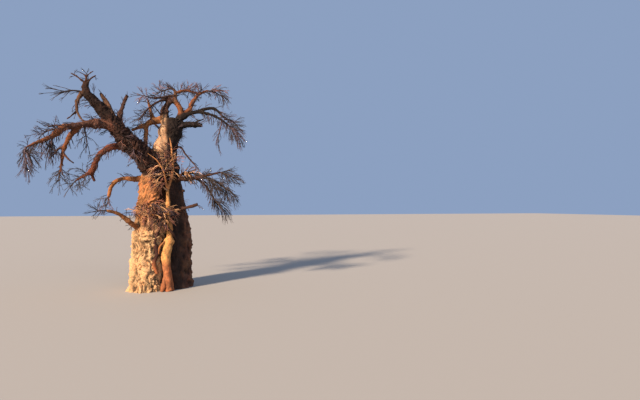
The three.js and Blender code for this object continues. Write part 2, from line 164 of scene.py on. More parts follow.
# Each limb's tint, then its stations: x, y and z in centimetres and the radius in millimetres.
LIMBS = {
    # leader_right's dark tint is painted shade
    "leader_right": (LEADER_PAINTED_SHADE, (12, 5, 484, 530), (18, 10, 577, 480), (33, 20, 638, 385),
        (42, 30, 700, 420)),
    "leader_left": (COCOA, (-8, -22, 460, 450), (-58, -45, 534, 385), (-118, -60, 595, 400),
        (-164, -75, 654, 290), (-197, -80, 694, 235), (-231, -85, 732, 195), (-266, -90, 767, 170),
        (-278, -92, 778, 130)),
    "tip_knob": (UMBER, (-272, -90, 780, 130), (-274, -95, 798, 118), (-271, -98, 812, 100),
        (-272, -100, 820, 62)),
    "left_drop_limb": (GREY, (-286, -91, 776, 90), (-297, -94, 755, 68), (-305, -98, 732, 70),
        (-304, -100, 698, 50)),
    "left_bough": (BROWN, (-156, -68, 645, 240), (-203, -93, 655, 200), (-244, -115, 654, 145),
        (-287, -142, 644, 130), (-335, -175, 630, 115)),
    "left_outer_bough": (RUST, (-332, -170, 632, 108), (-363, -200, 597, 98), (-412, -240, 561, 54),
        (-437, -264, 543, 27)),
    "left_hanging_limb": (RUST, (-296, -147, 636, 105), (-325, -133, 599, 95), (-343, -120, 562, 80),
        (-351, -112, 533, 64), (-355, -105, 503, 50), (-361, -100, 470, 36)),
    "left_lower_bough": (RED, (-130, -48, 581, 170), (-195, -20, 577, 135), (-236, 20, 553, 135),
        (-275, 80, 483, 115)),
    "broken_stub": (GREY, (-186, -78, 696, 130), (-196, -72, 733, 115), (-210, -67, 759, 100),
        (-225, -65, 783, 55)),
    "upright_stub": (UMBER, (-159, -70, 672, 110), (-149, -63, 720, 78), (-139, -58, 755, 68),
        (-128, -55, 782, 70)),
    "trunk_left_bough": (TAN, (-60, 7, 455, 135), (-114, 20, 453, 115), (-150, 33, 456, 92),
        (-182, 45, 441, 85), (-200, 55, 412, 76), (-207, 62, 378, 55)),
    "low_left_bough": (TAN, (-82, -38, 247, 112), (-113, -80, 273, 94), (-137, -100, 297, 84),
        (-164, -120, 316, 72), (-196, -139, 325, 48)),
    "cross_bough": (ORANGE, (10, 30, 708, 160), (-20, 30, 703, 155), (-42, 25, 695, 125),
        (-61, 15, 679, 105), (-83, 5, 668, 80), (-112, -20, 650, 55)),
    "prop_limb": (ORANGE, (-60, 18, 676, 92), (-59, 8, 640, 90), (-61, -18, 596, 96)),
    "upper_left_limb": (TAN, (-32, 30, 704, 85), (-41, 20, 735, 66), (-48, 10, 764, 52),
        (-52, 6, 783, 36)),
    "ring_left": (UMBER, (19, 30, 696, 172), (14, 30, 742, 152), (30, 35, 778, 120), (50, 35, 792, 108)),
    "ring_right": (RUST, (69, 30, 696, 168), (83, 30, 739, 130), (75, 35, 767, 112), (54, 35, 792, 102)),
    "upper_mid_limb": (UMBER, (54, 40, 813, 60), (36, 35, 811, 52), (4, 20, 799, 46), (-24, 10, 792, 40),
        (-45, 6, 793, 32)),
    "crown_top_limb": (GREY, (55, 35, 788, 108), (60, 50, 817, 82), (56, 70, 842, 66), (42, 87, 857, 45)),
    "upper_right_limb": (RUST, (79, 30, 723, 110), (115, 45, 758, 92), (129, 65, 793, 92),
        (156, 85, 833, 75), (198, 118, 862, 45)),
    # The right arms and the right stub are tinted with painted shade
    "right_arm_upper": (RIGHT_PAINTED_SHADE, (74, 25, 714, 140), (118, 10, 737, 100), (158, -10, 747, 74),
        (209, -35, 755, 66), (240, -54, 731, 46)),
    "right_arm_lower": (RIGHT_PAINTED_SHADE, (140, -1, 743, 64), (188, -40, 730, 56), (225, -80, 709, 52),
        (264, -114, 674, 38)),
    "right_stub": (RIGHT_PAINTED_SHADE, (56, 21, 686, 170), (117, 0, 687, 120), (165, -20, 683, 85)),
    "right_lower_bough": (UMBER, (44, -18, 457, 150), (114, -60, 456, 100), (164, -90, 465, 60),
        (229, -128, 478, 34)),
    "right_drooping_limb": (UMBER, (137, -70, 459, 62), (178, -60, 425, 50), (213, -50.5, 371, 34)),
    "trunk_right_stub": (UMBER, (72, -19, 330, 78), (115, -35, 338, 66), (145, -45, 348, 70)),
    "back_bough": (BROWN, (22, 28, 586, 240), (38, 100, 618, 190), (43, 180, 645, 130),
        (49, 260, 670, 72)),
    "back_left_bough": (RUST, (-50, 15, 510, 230), (-110, 100, 595, 170), (-150, 160, 648, 130),
        (-186, 218, 698, 78)),
    "back_low_bough": (BROWN, (-2, 48, 456, 195), (-17, 140, 474, 155), (-30, 220, 474, 115),
        (-39, 288, 464, 65)),
    "back_right_bough": (RUST, (27, 60, 374, 175), (42, 140, 391, 135), (48, 210, 392, 95),
        (54, 268, 380, 55)),
}

# Small limbs that the frame leaves to this script, each with the limb whose piece it joins.
SMALL_LIMBS = {
    "trunk_knob": ("trunk", UMBER, (68, -20, 402, 50), (84, -23, 405, 42), (93, -25, 407, 70)),
    "arm_tip": ("right_arm_upper", RIGHT_PAINTED_SHADE, (232, -48, 738, 46), (257, -60, 712, 38), (288, -62, 701, 32),
        (317, -62, 667, 18)),
    "outer_fork": ("left_outer_bough", UMBER, (-336, -174, 627, 70), (-360, -185, 632, 48),
        (-384, -195, 625, 30)),
    "heap_limb": ("right_lower_bough", RIGHT_PAINTED_SHADE, (66, -36, 464, 60), (98, -60, 480, 50), (136, -80, 474, 34)),
    "right_whip": ("leader_right", UMBER, (52, 10, 591, 48), (80, 0, 589, 42), (96, -10, 563, 36),
        (149, -40, 497, 26)),
    "left_lower_tip": ("left_lower_bough", RED, (-272, 77, 488, 98), (-302, 100, 471, 70),
        (-343, 130, 447, 36)),
    "sweep_limb": ("upper_mid_limb", UMBER, (42, 35, 799, 50), (28, 35, 794, 50), (0, 10, 783, 46),
        (-41, -30, 748, 40), (-86, -65, 683, 26)),
    "crown_cross": ("crown_top_limb", RUST, (60, 60, 830, 60), (100, 70, 845, 58), (152, 85, 841, 50)),
    "prop_foot": ("prop_limb", ORANGE, (-61, -18, 596, 74), (-66, -40, 562, 66)),
    "slant_limb": ("cross_bough", UMBER, (-42, 0, 705, 34), (-25, -2, 684, 36), (-6, -5, 660, 32)),
    "ring_strut": ("ring_left", UMBER, (-30, -18, 756, 26), (-14, 2, 740, 26), (2, 18, 720, 30)),
    "drop_fork": ("left_drop_limb", GREY, (-305, -100, 703, 42), (-293, -108, 680, 36),
        (-276, -118, 660, 34)),
    "drop_leg": ("left_drop_limb", UMBER, (-304, -100, 704, 36), (-322, -108, 682, 28),
        (-336, -116, 668, 24)),
    "antler_left": ("tip_knob", UMBER, (-275, -100, 812, 46), (-292, -105, 824, 34),
        (-307, -100, 836, 28), (-327, -95, 847, 17)),
    "antler_middle": ("tip_knob", BROWN, (-271, -100, 814, 50), (-273, -100, 838, 36),
        (-283, -105, 844, 26), (-295, -110, 849, 17)),
    "antler_back": ("tip_knob", BROWN, (-273, -100, 836, 34), (-262, -90, 850, 24), (-248, -85, 863, 16)),
    "antler_right": ("tip_knob", UMBER, (-269, -100, 812, 46), (-254, -105, 829, 34),
        (-238, -100, 843, 24)),
    "hanging_toe": ("left_hanging_limb", BROWN, (-350, -112, 542, 50), (-332, -120, 520, 36),
        (-310, -130, 502, 26)),
    "lower_stub": ("left_lower_bough", RED, (-270, 72, 495, 90), (-272, 95, 466, 70),
        (-266, 105, 446, 50)),
    "stub_rise": ("right_stub", RIGHT_PAINTED_SHADE, (130, -5, 688, 60), (148, -10, 702, 42), (172, -15, 710, 24)),
    "hanging_side": ("left_hanging_limb", UMBER, (-340, -122, 562, 50), (-362, -126, 555, 42),
        (-372, -130, 538, 34), (-392, -136, 516, 24)),
}

# Stems and roots that run on the trunk's skin without growing into it: each piece's limbs, with their
# tints and stations.
STEMS = {
    "front_stem": {
        "front_stem": (PALE_STEM, (30, -84, 0, 160), (28, -82, 30, 150), (26, -80, 70, 150),
            (21, -80, 112, 185), (18, -80, 142, 205), (25, -77, 178, 180), (32, -69, 212, 150),
            (32, -60, 246, 105), (31, -58, 286, 86), (26, -59, 373, 66), (24, -57, 420, 62)),
        "left_toe": (RUST, (22, -82, 75, 90), (12, -92, 35, 80), (4, -100, 0, 70)),
        "right_toe": (RUST, (30, -80, 80, 90), (38, -80, 40, 85), (45, -80, 0, 75)),
    },
    "front_stem_fork": {
        "front_stem_fork": (FORK_STEM, (24, -57, 410, 60), (40, -58, 455, 60), (46, -55, 500, 56),
            (43, -49, 545, 48), (40, -38, 592, 32), (34, -40, 622, 12)),
        "stem_left_fork": (FORK_STEM, (23, -60, 412, 46), (16, -78, 455, 36), (4, -86, 494, 28),
            (-18, -96, 526, 18), (-50, -100, 550, 8)),
        "stem_twig": (PALE_AND_PAINTED_SUNLIGHT, (24, -62, 406, 32), (0, -78, 424, 26), (-28, -86, 440, 18)),
    },
    "roots": {
        "cross_root": (UMBER, (-16, -83, 290, 34), (15, -90, 262, 56), (44, -86, 233, 50),
            (56, -60, 208, 34)),
        "arch_root": (TAN, (13, -84, 198, 34), (-4, -93, 180, 36), (-10, -92, 150, 34)),
        "front_vine": (RUST, (-100, -35, 336, 18), (-80, -66, 346, 24), (-50, -86, 352, 28),
            (-12, -86, 344, 30), (18, -76, 330, 28), (50, -60, 330, 24), (80, -40, 320, 18)),
        "dark_strand": (WINE, (4, -74, 290, 34), (-10, -84, 240, 52), (-22, -90, 203, 64),
            (-16, -88, 147, 72), (-28, -93, 115, 80), (-14, -88, 72, 66)),
        "low_vine": (TAN, (36, -66, 272, 20), (12, -92, 292, 24), (-20, -98, 306, 26),
            (-56, -96, 304, 24), (-90, -72, 290, 18)),
    },
}

# Each column's middle and half widths at these heights, and how far its right side is set back, as a slope.
LEVELS = (0.0, 1.0, 2.0, 3.5, 4.5, 5.15)
COLUMNS = [
    {"x": (-0.53, -0.49, -0.44, -0.33, -0.26, -0.12), "y": (-0.09, -0.09, -0.10, -0.11, -0.11, -0.09),
     "half_x": (0.65, 0.61, 0.65, 0.555, 0.53, 0.43), "half_y": (0.86, 0.85, 0.82, 0.70, 0.61, 0.47),
     "slope": (0, 0, 0, 0, 0, 0), "turn": 0.4},
    {"x": (0.62, 0.62, 0.60, 0.45, 0.28, 0.19), "y": (0.24, 0.23, 0.22, 0.20, 0.11, 0.02),
     "half_x": (0.62, 0.64, 0.63, 0.56, 0.51, 0.50), "half_y": (0.74, 0.72, 0.70, 0.62, 0.57, 0.51),
     "slope": (0.35, 0.35, 0.35, 0.30, 0.15, 0), "turn": 2.1},
    {"x": (0.03, 0.03, 0.04, 0.06, 0.06, 0.06), "y": (0.46, 0.45, 0.43, 0.34, 0.26, 0.16),
     "half_x": (0.76, 0.74, 0.72, 0.62, 0.54, 0.42), "half_y": (0.72, 0.70, 0.67, 0.58, 0.50, 0.38),
     "slope": (0, 0, 0, 0, 0, 0), "turn": 3.7},
]

# Dents, with a depth above 0, and bumps in the trunk: middle, half size and depth. The dents also get painted
# shade.
MARKS = [
    ((0.02, -0.90, 0.95), (0.15, 0.36, 0.40), 0.14),
    ((0.07, -0.62, 3.90), (0.18, 0.60, 0.80), 0.17),
    ((-0.60, -1.00, 2.28), (0.42, 0.40, 0.13), -0.10),
    ((-0.57, -1.00, 2.00), (0.36, 0.40, 0.08), 0.10),
    ((-0.27, -0.95, 2.18), (0.07, 0.30, 0.06), 0.10),
    ((-0.40, -1.00, 2.88), (0.34, 0.40, 0.05), 0.07),
    ((-0.62, -1.00, 2.62), (0.34, 0.40, 0.05), 0.08),
    ((1.22, 0.15, 1.70), (0.22, 0.34, 0.16), -0.07),
    ((1.20, 0.15, 2.60), (0.20, 0.34, 0.20), -0.04),
]

# Each spray's frame node, the limbs that it grows from, the share along each where it starts, the room
# between the ends of its stems, how dear the way back to the limb is (dear: long rods from the limb,
# cheap: forks), its droop, how far its stems stray, its longest twig, the distance between twigs, its tints.
SPRAYS = {
    "twigs_top_left": ("antler_left antler_middle antler_back antler_right", 0.4, 0.24, 0.1, 0.0, 0.25,
        0.22, 0.24, "dark brown"),
    "twigs_left_tip": ("leader_left", 0.93, 0.23, 0.8, 0.02, 0.12, 0.30, 0.42, "brown dark"),
    "twigs_left_upper": ("left_bough", 0.82, 0.15, 0.5, 0.15, 0.25, 0.34, 0.2, "purple brown"),
    "twigs_left_end": ("left_outer_bough outer_fork", 0.55, 0.145, 0.7, 0.5, 0.14, 0.42, 0.21,
        "purple purple dark"),
    "twigs_left_under": ("left_outer_bough", 0.05, 0.15, 0.9, 0.9, 0.14, 0.38, 0.22, "purple brown"),
    "twigs_left_hanging": ("left_hanging_limb hanging_toe", 0.60, 0.19, 0.4, 0.5, 0.25, 0.36, 0.3,
        "brown dark"),
    "twigs_left_mid": ("left_bough", 0.45, 0.26, 0.5, 0.6, 0.35, 0.34, 0.36, "brown dark"),
    "twigs_left_lower": ("left_lower_tip lower_stub", 0.05, 0.20, 0.25, 0.3, 0.35, 0.36, 0.24,
        "brown dark"),
    "twigs_trunk_left": ("trunk_left_bough", 0.70, 0.19, 0.3, 0.25, 0.3, 0.32, 0.24, "brown rust"),
    "twigs_low_left": ("low_left_bough", 0.75, 0.19, 0.3, 0.1, 0.3, 0.32, 0.24, "brown dark"),
    "twigs_upper_left": ("upper_left_limb upper_mid_limb", 0.60, 0.17, 0.3, 0.0, 0.3, 0.32, 0.22,
        "brown rust"),
    "twigs_sweep": ("sweep_limb", 0.20, 0.14, 0.4, 0.2, 0.2, 0.36, 0.21, "dark brown"),
    "twigs_top_mid": ("crown_top_limb", 0.60, 0.16, 0.3, 0.0, 0.3, 0.34, 0.21, "brown rust"),
    "twigs_top_right": ("crown_cross", 0.05, 0.14, 0.3, 0.0, 0.3, 0.32, 0.2, "rust brown purple"),
    "twigs_upper_right": ("upper_right_limb", 0.70, 0.15, 0.7, 0.5, 0.14, 0.38, 0.22,
        "purple brown rust"),
    "twigs_right_tip": ("right_arm_lower arm_tip", 0.40, 0.16, 0.8, 0.6, 0.13, 0.42, 0.24,
        "dark purple dark"),
    "twigs_right_hanging": ("right_arm_lower", 0.55, 0.15, 0.8, 0.9, 0.10, 0.28, 0.26, "dark purple"),
    "twigs_right_high": ("right_lower_bough", 0.60, 0.14, 0.8, 0.2, 0.13, 0.40, 0.22, "dark dark brown"),
    "twigs_right_mid": ("heap_limb", 0.15, 0.15, 0.75, 0.45, 0.12, 0.46, 0.3, "dark brown dark"),
    "twigs_right_low": ("right_drooping_limb", 0.30, 0.15, 0.9, 0.6, 0.09, 0.44, 0.3, "dark brown"),
    "twigs_front_low": ("front_vine low_vine", 0.0, 0.135, 0.9, 0.5, 0.4, 0.40, 0.45,
        "rust brown pink pale purple"),
    "twigs_front_high": ("front_stem_fork stem_left_fork", 0.05, 0.13, 0.8, 0.4, 0.4, 0.40, 0.42,
        "pink pale rust brown purple"),
    "twigs_leader": ("leader_left", 0.05, 0.19, 0.35, 0.2, 0.5, 0.40, 0.42, "purple rust brown"),
    "twigs_back": ("back_bough", 0.70, 0.19, 0.35, 0.1, 0.3, 0.40, 0.22, "brown dark"),
    "twigs_back_left": ("back_left_bough", 0.70, 0.19, 0.35, 0.1, 0.3, 0.40, 0.22, "brown purple"),
    "twigs_back_low": ("back_low_bough", 0.70, 0.19, 0.4, 0.5, 0.25, 0.40, 0.22, "brown dark"),
    "twigs_back_right": ("back_right_bough", 0.70, 0.19, 0.4, 0.5, 0.25, 0.40, 0.22, "brown rust"),
}
TWIG_TINTS = {"dark": "271c1a", "brown": "392a25", "purple": "46363d", "rust": "70483a", "pale": "c89a70",
              "pink": "9c6450"}

# Twigs that stand on a limb along its length: how many, how long, and whether they hang, rise or do both.
HANG, BOTH, RISE = -1, 0, 1
LIMB_TWIGS = {
    "left_bough": (44, 0.42, BOTH), "left_outer_bough": (40, 0.40, HANG),
    "left_hanging_limb": (30, 0.36, BOTH), "left_lower_bough": (34, 0.38, BOTH),
    "leader_left": (80, 0.42, BOTH), "left_drop_limb": (12, 0.30, BOTH), "upright_stub": (12, 0.20, RISE),
    "broken_stub": (6, 0.16, RISE), "cross_bough": (26, 0.34, BOTH), "prop_limb": (10, 0.26, BOTH),
    "upper_left_limb": (12, 0.34, BOTH), "upper_mid_limb": (24, 0.36, BOTH),
    "sweep_limb": (16, 0.36, BOTH), "crown_top_limb": (18, 0.34, RISE),
    "upper_right_limb": (30, 0.34, BOTH), "crown_cross": (24, 0.34, BOTH), "ring_left": (8, 0.24, BOTH),
    "ring_right": (8, 0.24, BOTH), "right_arm_upper": (26, 0.34, BOTH),
    "right_arm_lower": (26, 0.38, HANG), "right_stub": (18, 0.28, RISE),
    "right_lower_bough": (44, 0.42, BOTH), "right_drooping_limb": (30, 0.40, HANG),
    "right_whip": (14, 0.28, BOTH), "heap_limb": (60, 0.46, BOTH), "trunk_right_stub": (5, 0.30, HANG),
    "trunk_left_bough": (20, 0.32, BOTH), "low_left_bough": (16, 0.30, BOTH),
    "leader_right": (30, 0.36, BOTH), "back_bough": (26, 0.38, BOTH), "back_left_bough": (26, 0.38, BOTH),
    "back_low_bough": (28, 0.38, HANG), "back_right_bough": (24, 0.38, HANG),
}
LIMB_TINTS = "brown dark purple"
HEAP_TINTS = "pale rust brown dark"
SIDES = {"left": ("left", "leader_left", "upright", "broken", "low_left", "trunk_left"), "back": ("back",)}


# Repeatable noise on points
def lattice(cell, seed):
    """A repeatable whole number for each whole-numbered cell."""
    mixed = cell[..., 0] * 73856093 + cell[..., 1] * 19349663 + cell[..., 2] * 83492791 + seed * 50331653
    mixed = ((mixed ^ (mixed >> 15)) * 2246822519) & 0xFFFFFFFF
    mixed = ((mixed ^ (mixed >> 13)) * 3266489917) & 0xFFFFFFFF
    return mixed ^ (mixed >> 16)


SLOPES = np.array([(x, y, z) for x in (-1, 0, 1) for y in (-1, 0, 1) for z in (-1, 0, 1)
                   if abs(x) + abs(y) + abs(z) == 2], float)


def noise(points, size, seed):
    """Smooth noise, about -1 to 1, whose lumps are this size. size is one length, or one along each axis."""
    place = points / size
    cell = np.floor(place).astype(np.int64)
    part = place - cell
    ease = part * part * part * (part * (part * 6 - 15) + 10)
    total = np.zeros(len(points))
    for corner in np.ndindex(2, 2, 2):
        slope = SLOPES[lattice(cell + np.array(corner), seed) % len(SLOPES)]
        share = np.prod(np.where(corner, ease, 1 - ease), axis=1)
        total += share * np.einsum("ij,ij->i", slope, part - corner)
    return total * 1.25


def layered(points, size, seed, layers=2):
    """Noise with finer and weaker layers added."""
    size = np.asarray(size, float)
    return sum(noise(points, size / 2**n, seed + n) / 2**n for n in range(layers))


def puffs(points, size, seed):
    """Swollen lumps of this size with sharp creases between them: about 0 in a crease, 0.6 on a lump."""
    return np.abs(layered(points, size, seed))


def warps(points, size, seed):
    """Noise along each axis."""
    return np.stack([layered(points, size, seed + n) for n in range(3)], 1)


def ramp(value, low, high):
    """0 below low, 1 above high and a smooth step between; low may be the larger."""
    share = np.clip((value - low) / (high - low), 0, 1)
    return share * share * (3 - 2 * share)


# Lines through stations
def blend(at, knots, low, high, first, second):
    """The first value at one knot, the second at another, in proportion between."""
    span = knots[high] - knots[low]
    return (knots[high] - at) / span * first + (at - knots[low]) / span * second


def spline(points, radii, step):
    """Points and radii along a smooth curve through these, about a step apart."""
    around = np.vstack([2 * points[0] - points[1], points, 2 * points[-1] - points[-2]])
    curve, sizes = [], []
    for i in range(len(points) - 1):
        p = around[i : i + 4]
        gaps = np.maximum(np.sqrt(np.linalg.norm(np.diff(p, axis=0), axis=1)), 1e-4)
        t = np.concatenate([[0], np.cumsum(gaps)])
        count = max(2, round(float(np.linalg.norm(p[2] - p[1])) / step))
        at = np.linspace(t[1], t[2], count, endpoint=False)[:, None]
        a = [blend(at, t, k, k + 1, p[k], p[k + 1]) for k in range(3)]
        b = [blend(at, t, k, k + 2, a[k], a[k + 1]) for k in range(2)]
        share = np.linspace(0, 1, count, endpoint=False)
        curve.append(blend(at, t, 1, 2, *b))
        sizes.append(radii[i] * (1 - share) + radii[i + 1] * share)
    return np.vstack([*curve, points[-1:]]), np.concatenate([*sizes, radii[-1:]])


def unit(vectors):
    length = np.linalg.norm(vectors, axis=-1, keepdims=True)
    return vectors / np.maximum(length, 1e-9)


def sides_of(points):
    """The direction along a line of points, or along each of many, and two square to it, at each point."""
    forward = unit(np.gradient(points, axis=-2))
    overall = unit(points[..., -1, :] - points[..., 0, :])
    least = np.argmin(np.abs(overall), axis=-1)
    reference = np.eye(3)[least][..., None, :]
    across = unit(np.cross(reference, forward))
    return forward, across, np.cross(forward, across)


# Meshes
def triangles(*corners):
    """Triangles from the arrays of their first, second and third corners."""
    return np.stack(corners, -1).reshape(-1, 3)


def walls(rings, sides):
    """The triangles between rings of vertices."""
    here = np.arange(rings - 1)[:, None] * sides + np.arange(sides)
    turn = np.arange(rings - 1)[:, None] * sides + (np.arange(sides) + 1) % sides
    return [triangles(here, turn, turn + sides), triangles(here, turn + sides, here + sides)]


def closed(skin, *ends):
    """The vertices and triangles of a body from its rings of vertices and the middles of its two caps."""
    rings, sides = skin.shape[:2]
    start = np.arange(sides)
    end = (rings - 1) * sides + start
    middle = start * 0 + rings * sides
    caps = [triangles(middle, np.roll(start, -1), start), triangles(middle + 1, end, np.roll(end, -1))]
    return np.vstack([skin.reshape(-1, 3), *ends]), np.vstack(walls(rings, sides) + caps)


def tube(points, radii, sides):
    """The vertices and triangles of a closed round tube."""
    forward, across, deep = sides_of(points)
    angle = np.linspace(0, 2 * math.pi, sides, endpoint=False)[:, None]
    ring = np.cos(angle) * across[:, None] + np.sin(angle) * deep[:, None]
    first = points[0] - forward[0] * TUBE_END * radii[0]
    last = points[-1] + forward[-1] * TUBE_END * radii[-1]
    return closed(points[:, None] + ring * radii[:, None, None], first, last)


def joined(parts):
    """Several (vertices, triangles) as one."""
    shift = np.cumsum([0] + [len(v) for v, _ in parts[:-1]])
    faces = [f + start for (_, f), start in zip(parts, shift, strict=True)]
    return np.vstack([v for v, _ in parts]), np.vstack(faces)


def linked(name, data):
    """A new object in the scene."""
    made = bpy.data.objects.new(name, data)
    bpy.context.scene.collection.objects.link(made)
    return made


def mesh_object(name, vertices, faces):
    mesh = bpy.data.meshes.new(name)
    mesh.from_pydata(vertices.tolist(), [], faces.tolist())
    mesh.polygons.foreach_set("use_smooth", np.ones(len(faces), bool))
    return linked(name, mesh)


def vectors_of(collection, field):
    found = np.empty(len(collection) * 3)
    collection.foreach_get(field, found)
    return found.reshape(-1, 3)


def move(mesh, places):
    mesh.vertices.foreach_set("co", places.ravel())
    mesh.update()


def neighbours(mesh):
    """The edges, and each vertex's neighbours in rows filled up with the vertex itself, with their number."""
    edges = np.empty(len(mesh.edges) * 2, np.int32)
    mesh.edges.foreach_get("vertices", edges)
    edges = edges.reshape(-1, 2)
    ends, others = np.vstack([edges, edges[:, ::-1]]).T
    order = np.argsort(ends, kind="stable")
    ends, others = ends[order], others[order]
    count = np.bincount(ends, minlength=len(mesh.vertices))
    first = np.cumsum(count) - count
    rows = np.repeat(np.arange(len(count))[:, None], count.max(), axis=1)
    rows[ends, np.arange(len(ends)) - first[ends]] = others
    return edges, rows, np.maximum(count, 1)


def averaged(values, rows, count, rounds=1):
    """Each vertex's mean over its neighbours, taken this many times."""
    spare = (rows.shape[1] - count)[:, None]
    for _ in range(rounds):
        total = -values * spare
        for column in rows.T:
            total += values[column]
        values = total / count[:, None]
    return values


def islands(count, edges):
    """The number of the connected patch that each of count vertices lies in."""
    label = np.arange(count)
    while True:
        low = np.minimum(label[edges[:, 0]], label[edges[:, 1]])
        before = label.copy()
        np.minimum.at(label, edges[:, 0], low)
        np.minimum.at(label, edges[:, 1], low)
        label = label[label]
        if (label == before).all():
            return label


def directed_edges(faces):
    """The three edges of each triangle, in the direction in which they run round it."""
    return np.vstack([faces[:, [0, 1]], faces[:, [1, 2]], faces[:, [2, 0]]])


# The bark skin
def gnarled(stations, seed):
    """A limb's centreline and radii with a collar at its root and with stray bends, swellings and knobs."""
    stations = np.array(stations) / (100, 100, 100, 1000)
    points, radii = spline(stations[:, :3], stations[:, 3], LIMB_STEP)
    run = np.concatenate([[0], np.cumsum(np.linalg.norm(np.diff(points, axis=0), axis=1))])
    away = np.sin(np.pi * np.clip(run / run[-1], 0, 1)) ** 0.5
    track = np.column_stack([run, run * 0 + seed * 7.3, run * 0])
    stray = np.stack([layered(track + (0, 0, n * 3.1), 7 * radii.mean(), seed) for n in range(3)], 1)
    swell = layered(track + (0, 1.7, 0.9), 4.5 * radii.mean(), seed + 50)
    knobs = ramp(noise(track + (0.4, 0, 0.3), 2.6 * radii.mean(), seed + 90), 0.15, 0.55)
    collar = 1 + COLLAR * np.exp(-run / (1.6 * radii[0]))
    bulges = 1 + (SWELL * swell + KNUCKLE * (knobs - 0.22)) * away
    return points + stray * (WANDER * radii * away)[:, None], radii * collar * bulges


def column_part(column):
    """One fused column of the trunk."""
    heights = np.arange(-BELOW_GROUND, LEVELS[-1] + 0.001, COLUMN_STEP)
    x, y, half_x, half_y, slope = column_at(column, heights)
    angle = np.linspace(0, 2 * math.pi, COLUMN_SIDES, endpoint=False)
    low = np.clip(1 - heights / FLARE_HEIGHT, 0, 1.15)[:, None] ** 2
    flare = 1 + FLARE_SPREAD * low * (1 + 0.6 * np.cos(3 * angle + column["turn"]))
    flute = 1 + 0.035 * np.cos(5 * angle + column["turn"] + 0.38 * heights[:, None])
    aside = half_x[:, None] * flare * flute * np.cos(angle)
    deep = half_y[:, None] * flare * flute * np.sin(angle) + slope[:, None] * aside
    middle = np.stack([x, y, heights], 1)
    skin = np.stack([aside, deep, aside * 0], -1) + middle[:, None]
    return closed(skin, middle[0], middle[-1] + (0, 0, 0.3 * column["half_x"][-1]))


def column_at(column, heights):
    """A column's measures at these heights."""
    return [np.interp(heights, LEVELS, column[name]) for name in ("x", "y", "half_x", "half_y", "slope")]


def remeshed(parts):
    """The parts fused into one even skin."""
    rough = mesh_object("skin", *joined(parts))
    fuse = rough.modifiers.new("fuse", "REMESH")
    fuse.mode = "VOXEL"
    fuse.voxel_size = VOXEL
    fuse.use_smooth_shade = True
    view = bpy.context.evaluated_depsgraph_get()
    fused = bpy.data.meshes.new_from_object(rough.evaluated_get(view), depsgraph=view)
    bpy.data.objects.remove(rough)
    return fused


def trunk_gap(places):
    """How far places lie outside the nearest column's wall, about."""
    gaps = []
    for column in COLUMNS:
        x, y, half_x, half_y, slope = column_at(column, places[:, 2])
        aside = places[:, 0] - x
        out = np.hypot(aside / half_x, (places[:, 1] - y - slope * aside) / half_y)
        above = np.maximum(places[:, 2] - LEVELS[-1], 0)
        gaps.append((out - 1) * (half_x + half_y) / 2 + above)
    return np.min(gaps, 0)


def nearest_limb(lines, places):
    """The number of the limb whose bark is nearest to each place, -1 on the trunk, and the radius there."""
    dense = [spline(points, radii, NEAR_STEP) for points, radii in lines.values()]
    points = np.vstack([p for p, _ in dense]).astype(np.float32)
    radii = np.concatenate([r for _, r in dense]).astype(np.float32)
    limb = np.concatenate([np.full(len(r), i) for i, (_, r) in enumerate(dense)])
    sample, gap = [], []
    for start in range(0, len(places), BATCH):
        here = places[start : start + BATCH].astype(np.float32)
        square = (here**2).sum(1)[:, None] + (points**2).sum(1) - 2 * here @ points.T
        off = np.sqrt(np.maximum(square, 0)) - radii
        sample.append(off.argmin(1))
        gap.append(off.min(1))
    sample, gap = np.concatenate(sample), np.concatenate(gap)
    beside = trunk_gap(places)
    on_trunk = (beside < gap + 0.015) | ((beside < 0.2) & (gap > 0.03 + 0.3 * radii[sample]))
    return np.where(on_trunk, -1, limb[sample]), np.where(on_trunk, TRUNK_RADIUS, radii[sample])


